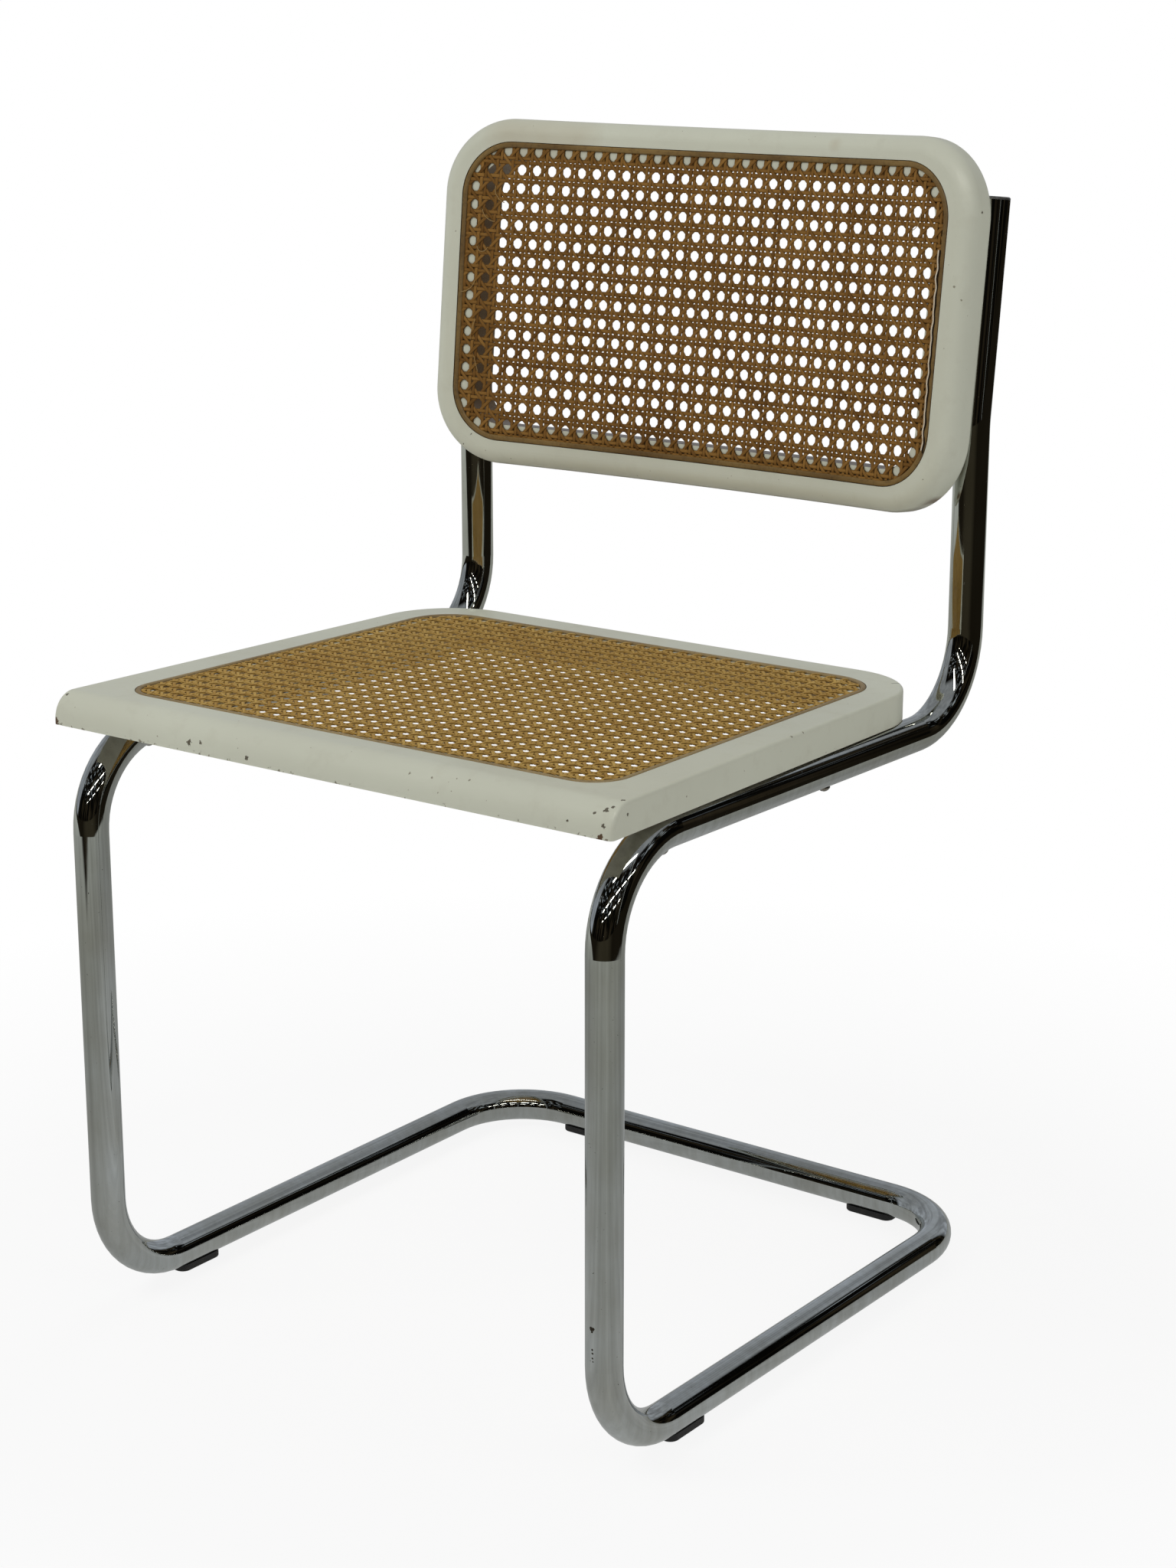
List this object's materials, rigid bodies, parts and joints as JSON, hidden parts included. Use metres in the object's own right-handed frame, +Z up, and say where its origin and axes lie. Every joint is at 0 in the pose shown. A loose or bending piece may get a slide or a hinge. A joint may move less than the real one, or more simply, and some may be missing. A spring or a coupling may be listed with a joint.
{
  "type": "cantilever chair",
  "caption": "Armless cantilever dining chair: a bent chrome tube frame carries a white painted wooden seat frame and a curved backrest frame, both filled with woven cane.",
  "frame": {"origin": "on the floor, under the middle of the chair's bounding box", "axes": "+Z up; the chair faces -Y; +X points to the sitter's left"},
  "size_m": [0.4808, 0.498, 0.8325],
  "materials": {
    "tube": "polished",
    "cap": "satin",
    "glide": "matte",
    "paint": "worn satin paint",
    "cane": "natural",
    "spline": "natural",
    "screw": "zinc plated",
    "dowel": "raw"
  },
  "bodies": {
    "root": {"tube_frame": "tube", "upright_cap_left": "cap", "upright_cap_right": "cap", "front_glide_left": "glide", "front_glide_right": "glide", "rear_glide_left": "glide", "rear_glide_right": "glide", "seat_front_rail": "paint", "seat_rear_rail": "paint", "seat_left_rail": "paint", "seat_right_rail": "paint", "seat_cane": "cane", "seat_spline": "spline", "back_top_rail": "paint", "back_bottom_rail": "paint", "back_left_stile": "paint", "back_right_stile": "paint", "back_cane": "cane", "back_spline": "spline", "seat_screws": "screw", "back_screws": "screw", "seat_dowels": "dowel", "back_dowels": "dowel"}
  },
  "joints": []
}
